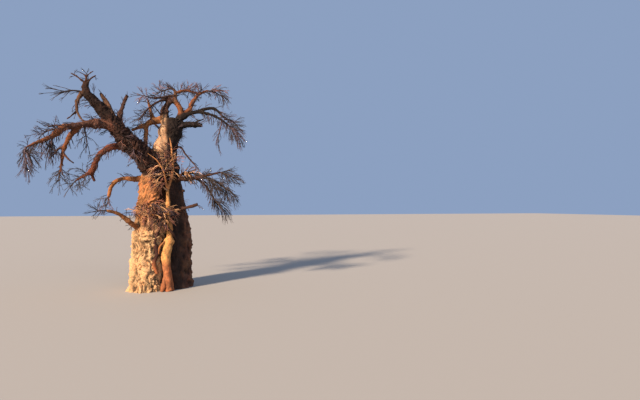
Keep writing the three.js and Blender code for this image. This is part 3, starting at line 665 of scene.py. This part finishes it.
def trunk_relief(at):
    """The height of the trunk's bark at these points, and how much painted shade its creases get."""
    x, _, z = at.T
    warp = warps(at, 0.55, 11)
    bent = at + 0.16 * warp
    left = ramp(x + 0.14 * warp[:, 0], 0.40, 0.12)
    low = ramp(z + 0.35 * warp[:, 2], 3.25, 2.55)
    foot = ramp(z + 0.15 * warp[:, 0], 2.1, 1.7)
    lumps = puffs(bent, (0.42, 0.42, 0.50), 21)
    wrinkles = puffs(bent, (0.20, 0.20, 0.26), 24)
    crumbs = puffs(bent, (0.10, 0.10, 0.13), 27)
    folds = puffs(bent, (0.26, 0.26, 1.5), 31)
    pits = ramp(noise(bent, (0.24, 0.24, 0.18), 35), 0.40, 0.62)
    slanted = bent @ np.array([[0.80, 0, 0.60], [0, 1, 0], [-0.60, 0, 0.80]])
    plates = puffs(slanted, (0.17, 0.30, 0.62), 41)
    slivers = puffs(slanted, (0.08, 0.20, 0.36), 44)
    ragged = ramp(x + 0.1 * warp[:, 1], 0.80, 1.05) * ramp(z, 3.9, 2.9)
    rough = left * low
    lumpy = rough * (1 - foot)
    folded = rough * foot
    plated = left * (1 - low)
    height = 0.03 * layered(at, 0.75, 51)
    height += lumpy * (0.115 * (lumps - 0.25) + 0.11 * (wrinkles - 0.22) - 0.065 * pits)
    height += folded * (0.05 * (lumps - 0.25) + 0.13 * (folds - 0.25) + 0.06 * (wrinkles - 0.22))
    height += rough * 0.07 * (crumbs - 0.22)
    height += plated * (0.10 * (plates - 0.22) + 0.05 * (slivers - 0.22))
    height += (1 - left) * (0.03 * (folds - 0.25) + 0.026 * (wrinkles - 0.2))
    height += ragged * 0.075 * layered(at, (0.24, 0.24, 0.30), 61, 3)
    height += 0.010 * layered(at, 0.08, 71)
    creases = lumpy * np.maximum(0.8 * ramp(lumps, 0.09, 0.0), 0.8 * ramp(wrinkles, 0.09, 0.0))
    seams = folded * np.maximum(0.8 * ramp(folds, 0.09, 0.0), 0.5 * ramp(wrinkles, 0.08, 0.0))
    edges = plated * np.maximum(0.9 * ramp(plates, 0.08, 0.0), 0.5 * ramp(slivers, 0.07, 0.0))
    creases = np.max([creases, seams, edges, 0.6 * rough * (1 - foot) * pits], 0)
    return height, creases


def limb_relief(at, radius):
    """The height of a limb's bark, scaled to its thickness, and how much painted shade its creases get."""
    thick = np.clip(radius / 0.25, 0.15, 1.6)
    bent = at + 0.08 * warps(at, 0.3, 111)
    coarse = puffs(bent, 0.34, 81)
    middle = puffs(bent, 0.15, 84)
    fine = layered(at, 0.075, 87)
    height = thick * (0.055 * (coarse - 0.22) + 0.045 * (middle - 0.22))
    height += np.clip(thick, 0.4, 1) * 0.014 * fine
    creases = np.maximum(0.6 * ramp(coarse, 0.06, 0.0), 0.5 * ramp(middle, 0.06, 0.0))
    return height, creases * np.clip(thick * 1.5, 0.4, 1.0)


def mix(share, base, other):
    """Each vertex's base tint with this share of the other."""
    return (1 - share)[:, None] * base + share[:, None] * other


def trunk_tint(at, warp):
    """The trunk's tint: pale below on the left, tan above it, dark on the right with painted shade, mixed
    round the back.
    """
    x, _, z = at.T
    left = ramp(x + 0.15 * warp, 0.34, 0.10)
    low = ramp(z + 0.5 * warp, 3.2, 2.5)
    mixed = ramp(warp, -0.2, 0.5)
    right = ramp(x + 0.2 * warp, 0.72, 0.98)
    lit = mix(low, mix(0.35 * mixed, ORANGE, RUST), PALE)
    # Between the left side and the far right, the right column gets painted shade
    return mix(left, mix(right, SHADE, mix(mixed, BROWN, GREY)), lit)


def shares_of(number, total):
    """Each vertex's share in each piece: one in its own, none in the others."""
    shares = np.zeros((len(number), total), np.float32)
    shares[np.arange(len(number)), number] = 1
    return shares


def even_borders(number, total, edges, rows):
    """The piece number of each vertex with smooth borders and no strays, and -1 on loose inner shells."""
    shares = shares_of(number, total)
    zone = (number[rows] != number[:, None]).any(1)
    for _ in range(BORDER_ROUNDS + 1):
        zone = zone[rows].any(1)
    zone = np.flatnonzero(zone)
    for _ in range(BORDER_ROUNDS):
        shares[zone] = shares[rows[zone]].mean(1)
    number = shares.argmax(1)
    patch = islands(len(number), edges[number[edges[:, 0]] == number[edges[:, 1]]])
    size = np.bincount(patch, minlength=len(number))[patch]
    largest = np.zeros(total, int)
    np.maximum.at(largest, number, size)
    stray = np.flatnonzero(size < largest[number])
    shares = shares_of(number, total)
    shares[stray] = 0
    for _ in range(STRAY_ROUNDS):
        shares[stray] = shares[rows[stray]].mean(1)
    shell = islands(len(number), edges)
    outer = np.bincount(shell).argmax()
    return np.where(shell == outer, shares.argmax(1), -1)


def bark_skin():
    """The fused skin of trunk and limbs with its relief. Returns its mesh, the limbs' lines, the tint, the
    painted shade in the creases and dents and the relief of each vertex, how deep it may be capped, the names
    of the pieces and the number of each vertex's own."""
    every = LIMBS | {name: rest for name, (_, *rest) in SMALL_LIMBS.items()}
    lines = {name: gnarled(stations, seed) for seed, (name, (_, *stations)) in enumerate(every.items(), 1)}
    parts = [column_part(column) for column in COLUMNS]
    parts += [tube(points, radii, LIMB_SIDES) for points, radii in lines.values()]
    mesh = remeshed(parts)
    edges, rows, count = neighbours(mesh)
    at = vectors_of(mesh.vertices, "co")
    limb, radius = nearest_limb(lines, at)
    radius = averaged(radius[:, None], rows, count, RADIUS_ROUNDS)
    softness = np.clip(radius / THIN_LIMB, 0.15, 1) ** 2
    for _ in range(SMOOTH_ROUNDS):
        at += SMOOTH_SHARE * softness * (averaged(at, rows, count) - at)
    move(mesh, at)
    normals = vectors_of(mesh.vertex_normals, "vector")
    radius = radius[:, 0]

    def on(*limbs):
        return np.isin(limb, [list(lines).index(name) for name in limbs])

    on_trunk = averaged((limb < 0).astype(float)[:, None], rows, count, TRUNK_ROUNDS)[:, 0]
    trunk_height, trunk_crease_shade = trunk_relief(at)
    limb_height, limb_crease_shade = limb_relief(at, radius)
    strength = np.where(on("leader_right", "cross_bough", "prop_limb"), SMOOTH_LIMB_RELIEF, 1)
    height = on_trunk * trunk_height + (1 - on_trunk) * limb_height * strength
    # Painted shade in the creases of the trunk and the limbs
    dark = on_trunk * trunk_crease_shade + (1 - on_trunk) * limb_crease_shade
    for centre, size, depth in MARKS:
        near = np.exp(-(((at - centre) / size) ** 2).sum(1) * 2)
        height -= depth * near
        # Painted shade in the dents
        dark = np.maximum(dark, 0.8 * near * (depth > 0))
    x, _, z = at.T
    warp = layered(at, 0.45, 91)
    tint = np.array([tint for tint, *_ in every.values()] + [TAN])[limb]
    tint = np.where((limb < 0)[:, None], trunk_tint(at, warp), tint)
    # A pale band of painted sunlight along leader_right's left edge, above its foot
    lit_edge = ramp(x + 0.06 * warp, 0.22, 0.15) * ramp(z + 0.3 * warp, 5.0, 5.4)
    tint = mix(lit_edge * on("leader_right"), tint, PALE_AND_PAINTED_SUNLIGHT)
    tint *= 1 - 0.4 * (on("leader_left", "tip_knob") * ramp(z + 0.3 * warp, 6.4, 7.1))[:, None]
    tint = averaged(tint, rows, count, TINT_ROUNDS)
    at += normals * height[:, None]
    at = (1 - LAST_SMOOTHING) * at + LAST_SMOOTHING * averaged(at, rows, count)
    move(mesh, at)
    hosts = [*LIMBS, *[host for host, *_ in SMALL_LIMBS.values()], "trunk"]
    pieces = sorted(set(hosts))
    number = np.array([pieces.index(host) for host in hosts])[limb]
    number = even_borders(number, len(pieces), edges, rows)
    layers = {"tint": tint, "dark": dark, "relief": np.clip(0.5 + height / FULL_RELIEF, 0, 1)}
    return mesh, lines, layers, CAP_DEPTH * radius, pieces, number


def without_underground(at, faces):
    """The faces above the ground, whose lowest edge is moved onto it."""
    kept = faces[(at[faces, 2] > 0).all(1)]
    single, count = np.unique(np.sort(directed_edges(kept), axis=1), axis=0, return_counts=True)
    rim = np.unique(single[count == 1])
    at = at.copy()
    at[rim[at[rim, 2] < 3 * VOXEL], 2] = 0
    return at, kept


def triangles_of(mesh):
    mesh.calc_loop_triangles()
    faces = np.empty(len(mesh.loop_triangles) * 3, np.int32)
    mesh.loop_triangles.foreach_get("vertices", faces)
    return faces.reshape(-1, 3)


def rim_of(faces):
    """The directed edges that only one face has, and for each the number of its closed rim."""
    edges = directed_edges(faces)
    size = faces.max() + 1
    forward, backward = edges[:, 0] * size + edges[:, 1], edges[:, 1] * size + edges[:, 0]
    rim = edges[~np.isin(forward, backward)]
    return rim, islands(size, rim)[rim[:, 0]]


def add_layer(mesh, name, values):
    """One value or colour for each vertex, which the materials read by its name."""
    if values.ndim == 2:
        colours = np.column_stack([values, np.ones(len(values))])
        mesh.attributes.new(name, "FLOAT_COLOR", "POINT").data.foreach_set("color", colours.ravel())
    else:
        mesh.attributes.new(name, "FLOAT", "POINT").data.foreach_set("value", values)


def capped(places, faces, normals, depth):
    """The faces closed at each rim by a wall that turns inward from the skin and a fan to its middle.
    Returns the new vertices and faces."""
    rim, number = rim_of(faces)
    vertices, parts = [places], [faces]
    total = len(places)
    for one in np.unique(number):
        edges = rim[number == one]
        around, own = np.unique(edges, return_inverse=True)
        on_ground = places[around, 2] < 1e-6
        inner = places[around] - normals[around] * depth[around, None]
        inner[:, 2] = np.where(on_ground, 0, np.maximum(inner[:, 2], 0))
        middle = inner.mean(0) * (1, 1, 0 if on_ground.any() else 1)
        a, b = edges.T
        inner_a, inner_b = total + own.reshape(-1, 2).T
        vertices += [inner, middle[None]]
        apex = np.full(len(edges), total + len(inner))
        parts += [triangles(b, a, inner_a), triangles(b, inner_a, inner_b), triangles(inner_b, inner_a, apex)]
        total += len(inner) + 1
    return np.vstack(vertices), np.vstack(parts)


def bark_piece(name, at, faces, normals, depth, layers, material):
    """One limb's own part of the skin, closed where it was divided from its neighbours."""
    used, own = np.unique(faces, return_inverse=True)
    places, faces = capped(at[used], own.reshape(-1, 3), normals[used], depth[used])
    piece = mesh_object(name, places, faces)
    mesh = piece.data
    spare = len(places) - len(used)
    for layer, values in layers.items():
        add_layer(mesh, layer, np.concatenate([values[used], np.repeat(values[used[:1]], spare, axis=0)]))
    own_normals = vectors_of(mesh.vertex_normals, "vector")
    own_normals[: len(used)] = normals[used]
    mesh.normals_split_custom_set_from_vertices(own_normals)
    mesh.materials.append(material)
    return piece


def stem_piece(name, limbs, lines, material):
    """Limbs that only lie against the trunk, each a closed tube of its own."""
    parts, tints, sizes = [], [], []
    for limb, (tint, *_) in limbs.items():
        points, radii = spline(*lines[limb], STEM_STEP)
        parts.append(tube(points, radii, STEM_SIDES))
        tints.append(np.tile(tint, (len(parts[-1][0]), 1)))
        sizes.append(np.append(np.repeat(radii, STEM_SIDES), [radii[0], radii[-1]]))
    at, faces = joined(parts)
    piece = mesh_object(name, at, faces)
    height, dark = limb_relief(at, np.concatenate(sizes))
    at += vectors_of(piece.data.vertex_normals, "vector") * STEM_RELIEF * height[:, None]
    at[:, 2] = np.maximum(at[:, 2], 0)
    piece.data.vertices.foreach_set("co", at.ravel())
    foot = ramp(at[:, 2] + 0.5 * height, 1.40, 0.95)
    add_layer(piece.data, "tint", mix(foot, np.vstack(tints), STEM_FOOT))
    # Painted shade in the stems' creases, and by their relief in their hollows
    add_layer(piece.data, "dark", 0.5 * dark)
    add_layer(piece.data, "relief", 0.5 + height / FULL_RELIEF)
    piece.data.materials.append(material)
    return piece


# Materials
def node(tree, kind, inputs=(), output=0, **settings):
    """One of the output sockets of a new node with these inputs and settings."""
    made = tree.nodes.new("ShaderNode" + kind)
    for key, value in settings.items():
        setattr(made, key, value)
    for key, value in dict(inputs).items():
        if isinstance(value, bpy.types.NodeSocket):
            tree.links.new(value, made.inputs[key])
        else:
            made.inputs[key].default_value = value
    return made.outputs[output]


def spread(value, low, high, start=0.3, end=0.7):
    """A socket whose values from start to end are spread from low to high."""
    inputs = {"Value": value, "From Min": start, "From Max": end, "To Min": low, "To Max": high}
    return node(value.id_data, "MapRange", inputs)


def new_material(name, base=(0.8, 0.8, 0.8)):
    made = bpy.data.materials.new(name)
    made.use_nodes = True
    tree = made.node_tree
    surface = tree.nodes["Principled BSDF"]
    surface.inputs["Base Color"].default_value = (*base, 1)
    return made, tree, surface


def bark_material(name, grain, mottle):
    """Bark: the tint of each place, mottled and streaked, with painted shade in its creases and hollows and
    painted highlights on its ridges. grain is the depth of the fine relief in metres, mottle the strength of
    the patches."""
    made, tree, surface = new_material(name)
    place = node(tree, "TexCoord", output="Object")
    tint = node(tree, "Attribute", output="Color", attribute_name="tint")
    dark = node(tree, "Attribute", output="Fac", attribute_name="dark")
    relief = node(tree, "Attribute", output="Fac", attribute_name="relief")
    tall = node(tree, "Mapping", {"Vector": place, "Scale": (1.0, 1.0, 0.5)})

    def pattern(scale, detail, roughness, distortion=0.0):
        inputs = {"Vector": tall, "Scale": scale, "Detail": detail, "Roughness": roughness}
        inputs["Distortion"] = distortion
        return node(tree, "TexNoise", inputs)

    def times(first, second):
        return node(tree, "Math", {0: first, 1: second}, operation="MULTIPLY")

    def blend_of(first, second, share):
        return node(tree, "Mix", {0: share, 6: first, 7: second}, output=2, data_type="RGBA")

    patches = pattern(2.6, 5.0, 0.6)
    blotches = pattern(9.0, 5.0, 0.65, 0.8)
    crumbs = pattern(27.0, 5.0, 0.68)
    flecks = pattern(75.0, 3.0, 0.7)
    cracks = spread(crumbs, 0.60, 1.0, 0.35, 0.44)
    # The value darkens the tint with painted shade in low places and lightens it with painted highlights on
    # high ones
    value = times(times(spread(patches, 1 - mottle, 1 + 0.6 * mottle), spread(blotches, 0.74, 1.22)),
                  times(spread(relief, 0.15, 0.62, 0.2, 0.75), times(cracks, spread(flecks, 0.90, 1.14))))
    lit = node(tree, "VectorMath", {0: tint, "Scale": value}, operation="SCALE")
    red = node(tree, "VectorMath", {0: lit, 1: REDDER}, operation="MULTIPLY")
    warm = blend_of(lit, red, spread(blotches, 0.0, 0.9, 0.45, 0.75))
    # Creases and dents get painted shade
    creased = blend_of(warm, CREASE_SHADE, times(dark, spread(flecks, 0.7, 0.95)))
    tree.links.new(creased, surface.inputs["Base Color"])
    tree.links.new(spread(flecks, 0.74, 0.95), surface.inputs["Roughness"])
    surface.inputs["Specular IOR Level"].default_value = 0.2
    height = node(tree, "Math", {0: crumbs, 1: spread(flecks, 0.0, 0.35)}, operation="ADD")
    bump = node(tree, "Bump", {"Height": height, "Strength": 0.9, "Distance": grain})
    tree.links.new(bump, surface.inputs["Normal"])
    return made


def twig_material(name, base):
    """Twig bark of one colour with an uneven gloss and small ridges."""
    made, tree, surface = new_material(name, base)
    place = node(tree, "TexCoord", output="Object")
    ridges = node(tree, "TexNoise", {"Vector": place, "Scale": 60.0, "Detail": 2.0})
    tree.links.new(spread(ridges, 0.65, 0.95), surface.inputs["Roughness"])
    bump = node(tree, "Bump", {"Height": ridges, "Strength": 0.5, "Distance": TIP_RADIUS / 2})
    tree.links.new(bump, surface.inputs["Normal"])
    return made


# Twigs
def inside_points(name, room, random):
    """Places inside one of the frame's solids that keep this room from each other."""
    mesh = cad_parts[name].data
    solid = BVHTree.FromPolygons([v.co for v in mesh.vertices], [p.vertices for p in mesh.polygons])
    low, high = (np.array(corner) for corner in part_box(name))
    wanted = max(LEAST_TRIES, int(TRIES_PER_ROOM * np.prod(high - low) / room**3))
    found = np.zeros((0, 3))
    for place in random.uniform(low, high, (wanted, 3)):
        if len(found) and np.linalg.norm(found - place, axis=1).min() < room:
            continue
        start, crossings = Vector(place), 0
        hit = solid.ray_cast(start, RAY)[0]
        while hit is not None and crossings < MOST_CROSSINGS:
            crossings += 1
            start = hit + RAY * 1e-4
            hit = solid.ray_cast(start, RAY)[0]
        if crossings % 2:
            found = np.vstack([found, place])
    return found


def grow(starts, headings, goals, run_cost, droop, stray, random):
    """Stems from the starts to the goals. Each leaves the limb or an earlier stem where its way is short
    and straight, and bends over to its goal. Returns the places and headings of all joints, the number of
    each one's parent, -1 at a start, and the stems as lists of joints."""
    places, ways = starts, headings
    parents = [-1] * len(starts)
    runs = np.zeros(len(starts))
    stems = []
    for goal in goals:
        aim = goal - places
        gap = np.linalg.norm(aim, axis=1)
        turn = 1 - (unit(aim) * ways).sum(1)
        joint = int(np.argmin(gap * (1 + TURN_COST * turn) + run_cost * runs))
        reach, ahead = gap[joint], unit(aim[joint])
        count = max(2, round(reach / JOINT_STEP))
        t = np.linspace(0, 1, count + 1)[:, None]
        leave = unit(0.55 * ways[joint] + ahead) * reach
        arrive = unit(ahead + np.array([0, 0, -droop]) + random.normal(0, stray, 3)) * reach
        line = (2 * t**3 - 3 * t**2 + 1) * places[joint] + (t**3 - 2 * t**2 + t) * leave
        line += (3 * t**2 - 2 * t**3) * goal + (t**3 - t**2) * arrive
        sway = np.sin(t * random.uniform(5, 11, 3) + random.uniform(0, 6, 3))
        line += np.sin(math.pi * t) * sway * WAVE * reach
        first = len(parents)
        stems.append([joint, *range(first, first + count)])
        parents += stems[-1][:-1]
        places = np.vstack([places, line[1:]])
        ways = np.vstack([ways, sides_of(line)[0][1:]])
        steps = np.cumsum(np.linalg.norm(np.diff(line, axis=0), axis=1))
        runs = np.concatenate([runs, runs[joint] + steps])
    return places, ways, parents, stems


def turned(heading, angle, round_angle):
    """A heading turned aside by an angle, in the direction that round_angle gives."""
    heading = unit(heading)
    across = unit(np.cross(heading, np.eye(3)[np.argmin(np.abs(heading))]))
    deep = np.cross(heading, across)
    aside = math.cos(round_angle) * across + math.sin(round_angle) * deep
    return math.cos(angle) * heading + math.sin(angle) * aside


def inside_limits(points):
    """Whether a line keeps inside the frame's box and off the ground."""
    low, high = (np.array(corner) for corner in cad_box)
    inside = (points > low - STRAY_ROOM).all() and (points < high + STRAY_ROOM).all()
    return inside and points[-1][2] > LOWEST_TIP


def twig(lines, start, heading, length, radius, order, droop, tint, random):
    """A gently bent twig that tapers, with shorter ones along it. order is how often it forks again."""
    joints = int(np.clip(2 + length / 0.11, 3, 7))
    points = [np.array(start)]
    way = unit(np.array(heading, float))
    bend = (random.normal(0, 0.17, 3) + np.array([0, 0, -3 * droop * length])) / (joints - 1)
    for _ in range(joints - 1):
        way = unit(way + bend + random.normal(0, 0.035, 3))
        points.append(points[-1] + way * length / (joints - 1))
    points = np.array(points)
    if not inside_limits(points):
        return
    sides = 4 if radius > THREE_SIDES else 3
    lines.append((points, radius * np.linspace(1, TAPER, joints), sides, tint))
    if not order:
        return
    spin = random.uniform(0, 2 * math.pi)
    for number in range(int(1 + 4 * length * random.uniform(0.4, 1.3))):
        share = random.uniform(0.15, 0.85)
        at = share * (joints - 1)
        joint = min(int(at), joints - 2)
        place = points[joint] + (at - joint) * (points[joint + 1] - points[joint])
        ahead = points[joint + 1] - points[joint]
        side = turned(ahead, random.uniform(0.2, 0.5), spin + number * GOLDEN_ANGLE)
        size = length * random.uniform(0.5, 0.9) * (1.1 - share)
        thinner = max(radius * 0.75, 0.8 * TIP_RADIUS)
        twig(lines, place, side, size, thinner, order - 1, droop, tint, random)


def tint_numbers(words):
    """The numbers of these twig tints."""
    return [list(TWIG_TINTS).index(word) for word in words.split()]


def spray(node_name, limb_lines, seed):
    """The stems and twigs of one spray, as lines."""
    limbs, share, room, run_cost, droop, stray, longest, step, tints = SPRAYS[node_name]
    tints = tint_numbers(tints)
    random = np.random.default_rng(seed)
    starts, headings = [], []
    for limb in limbs.split():
        points, _ = limb_lines[limb]
        first = min(int(share * len(points)), len(points) - 2)
        starts += list(points[first:])
        headings += list(sides_of(points)[0][first:])
    starts, headings = np.array(starts), np.array(headings)
    goals = inside_points(node_name, room, random)
    away = np.linalg.norm(goals[:, None] - starts[None], axis=2).min(1)
    goals = goals[np.argsort(-away * random.uniform(0.55, 1.45, len(goals)))]
    places, ways, parents, stems = grow(starts, headings, goals, run_cost, droop, stray, random)
    load = np.full(len(parents), 0.25)
    load[[stem[-1] for stem in stems]] = 1
    for joint in range(len(parents) - 1, -1, -1):
        if parents[joint] >= 0:
            load[parents[joint]] += load[joint]
    radii = TIP_RADIUS * np.maximum(load, 1) ** STEM_GROWTH
    lines = []
    for stem in stems:
        size = radii[stem]
        size[0] = size[1]
        tint = tints[random.integers(len(tints))]
        sides = 8 if size[0] > SIX_SIDES else 6 if size[0] > FOUR_SIDES else 4
        lines.append((places[stem], size, sides, tint))
        run, number = 0, 0
        for before, joint in zip(stem, stem[1:]):
            run += np.linalg.norm(places[joint] - places[before])
            if load[joint] < TWIGGY_LOAD and run > step * number:
                number += 1
                heading = turned(ways[joint], random.uniform(0.18, 0.45), number * GOLDEN_ANGLE)
                length = longest * random.uniform(0.5, 1.3)
                twig(lines, places[joint], heading, length, TIP_RADIUS, 1, droop, tint, random)
        for turn in (0.08, 0.3):
            heading = turned(ways[stem[-1]], turn, random.uniform(0, 2 * math.pi))
            length = longest * random.uniform(0.6, 1.0)
            twig(lines, places[stem[-1]], heading, length, TIP_RADIUS, 1, droop, tint, random)
    return [line for line in lines if inside_limits(line[0])]


def bundle(lines):
    """One mesh's vertices, triangles and tint numbers from many thin closed tubes."""
    groups = {}
    for line in lines:
        groups.setdefault((len(line[0]), line[2]), []).append(line)
    parts, tints = [], []
    for (joints, sides), found in sorted(groups.items()):
        points = np.array([line[0] for line in found])
        radii = np.array([line[1] for line in found])
        _, across, deep = sides_of(points)
        angle = np.linspace(0, 2 * math.pi, sides, endpoint=False)[:, None]
        ring = np.cos(angle) * across[:, :, None] + np.sin(angle) * deep[:, :, None]
        skin = points[:, :, None] + ring * radii[..., None, None]
        top = (joints - 1) * sides
        fan = np.arange(1, sides - 1)
        caps = [triangles(fan * 0, fan + 1, fan), triangles(fan * 0, fan, fan + 1) + top]
        one = np.vstack(walls(joints, sides) + caps)
        shift = np.arange(len(found))[:, None, None] * joints * sides
        parts.append((skin.reshape(-1, 3), (one[None] + shift).reshape(-1, 3)))
        tints.append(np.repeat([line[3] for line in found], len(one)))
    return (*joined(parts), np.concatenate(tints))


def twig_piece(name, lines, materials, *nodes):
    vertices, faces, tints = bundle(lines)
    piece = mesh_object(name, vertices, faces)
    for material in materials:
        piece.data.materials.append(material)
    piece.data.polygons.foreach_set("material_index", tints.astype(np.int32))
    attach(piece, "root")
    if nodes:
        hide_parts(*nodes)
    return piece


def limb_twigs(limb, line, seed):
    """Twigs that stand on a limb's bark."""
    count, longest, growth = LIMB_TWIGS[limb]
    tints = tint_numbers(HEAP_TINTS if limb == "heap_limb" else LIMB_TINTS)
    random = np.random.default_rng(seed)
    points, radii = line
    forward, across, deep = sides_of(points)
    lines = []
    for _ in range(count):
        joint = random.integers(int(0.2 * len(points)), len(points))
        angle = random.uniform(0, 2 * math.pi)
        out = math.cos(angle) * across[joint] + math.sin(angle) * deep[joint]
        if growth * out[2] < 0:
            out = -out
        heading = unit(out + 0.9 * forward[joint])
        start = points[joint] + out * radii[joint] * 0.6
        size = longest * random.uniform(0.5, 1.2)
        tint = tints[random.integers(len(tints))]
        twig(lines, start, heading, size + radii[joint] * 0.4, TIP_RADIUS * 1.35, 2, 0.5, tint, random)
    return lines


# The object's pieces
bark = bark_material("bark", grain=0.022, mottle=0.26)
pale_bark = bark_material("pale_bark", grain=0.010, mottle=0.16)
twig_materials = [twig_material(f"twig_{n}", colour(code)) for n, code in enumerate(TWIG_TINTS.values())]

skin, limb_lines, skin_layers, cap_depth, piece_names, piece_of_vertex = bark_skin()
skin_places = vectors_of(skin.vertices, "co")
skin_normals = vectors_of(skin.vertex_normals, "vector")
skin_places, skin_faces = without_underground(skin_places, triangles_of(skin))
corners = piece_of_vertex[skin_faces]
piece_of_face = np.where(corners[:, 1] == corners[:, 2], corners[:, 1], corners[:, 0])
for number, name in enumerate(piece_names):
    faces = skin_faces[piece_of_face == number]
    piece = bark_piece("bark_" + name, skin_places, faces, skin_normals, cap_depth, skin_layers, bark)
    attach(piece, "root")
    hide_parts(name)

for first_seed, (name, limbs) in zip(STEM_SEEDS, STEMS.items()):
    for seed, (limb, (_, *stations)) in enumerate(limbs.items(), first_seed):
        limb_lines[limb] = gnarled(stations, seed)
    piece = stem_piece("bark_" + name, limbs, limb_lines, pale_bark)
    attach(piece, "root")
    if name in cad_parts:
        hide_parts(name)

for seed, name in enumerate(SPRAYS, SPRAY_SEED):
    twig_piece(name.replace("twigs_", "spray_"), spray(name, limb_lines, seed), twig_materials, name)

standing = {"left": [], "right": [], "back": []}
for seed, name in enumerate(LIMB_TWIGS, LIMB_TWIG_SEED):
    side = next((side for side, starts in SIDES.items() if name.startswith(starts)), "right")
    standing[side] += limb_twigs(name, limb_lines[name], seed)
for side, lines in standing.items():
    twig_piece("limb_twigs_" + side, lines, twig_materials)


# Camera, floor and light
def make_camera():
    data = bpy.data.cameras.new("camera")
    data.sensor_width = SENSOR_WIDTH
    data.lens = SENSOR_WIDTH * FOCAL_LENGTH / FRAME_WIDTH
    data.shift_y = (HORIZON_ROW - FRAME_HEIGHT / 2) / FRAME_WIDTH
    data.clip_end = CAMERA_REACH
    camera = linked("camera", data)
    camera.location = (0, -CAMERA_DISTANCE, EYE_HEIGHT)
    camera.rotation_euler = (math.pi / 2, 0, -LOOK_RIGHT)
    bpy.context.scene.camera = camera


def make_floor():
    corners = FLOOR_REACH * np.array([(-1, -1, 0), (1, -1, 0), (1, 1, 0), (-1, 1, 0)])
    floor = mesh_object("floor", corners, np.array([(0, 1, 2), (0, 2, 3)]))
    floor.location.z = -FLOOR_DROP
    stone, _, surface = new_material("floor", colour("9c9893"))
    surface.inputs["Roughness"].default_value = 0.9
    floor.data.materials.append(stone)


def make_sun(name, azimuth, elevation, strength, tint, spread):
    """A soft lamp. azimuth is the direction it comes from, in degrees from +X towards +Y."""
    data = bpy.data.lights.new(name, "SUN")
    data.energy = strength
    data.color = tint
    data.angle = math.radians(spread)
    lamp = linked(name, data)
    turn, rise = math.radians(azimuth), math.radians(elevation)
    toward = Vector((math.cos(turn) * math.cos(rise), math.sin(turn) * math.cos(rise), math.sin(rise)))
    lamp.rotation_euler = toward.to_track_quat("Z", "Y").to_euler()


def make_world():
    world = bpy.data.worlds.new("world")
    world.use_nodes = True
    background = world.node_tree.nodes["Background"]
    background.inputs["Color"].default_value = (*colour("a9c1e8"), 1)
    background.inputs["Strength"].default_value = 0.66
    bpy.context.scene.world = world


make_camera()
make_floor()
make_sun("key", azimuth=218, elevation=24, strength=9.9, tint=(1.0, 0.79, 0.58), spread=5)
make_sun("fill", azimuth=285, elevation=30, strength=0.55, tint=(1.0, 0.90, 0.82), spread=40)
make_world()
bpy.context.scene.view_settings.view_transform = "Standard"
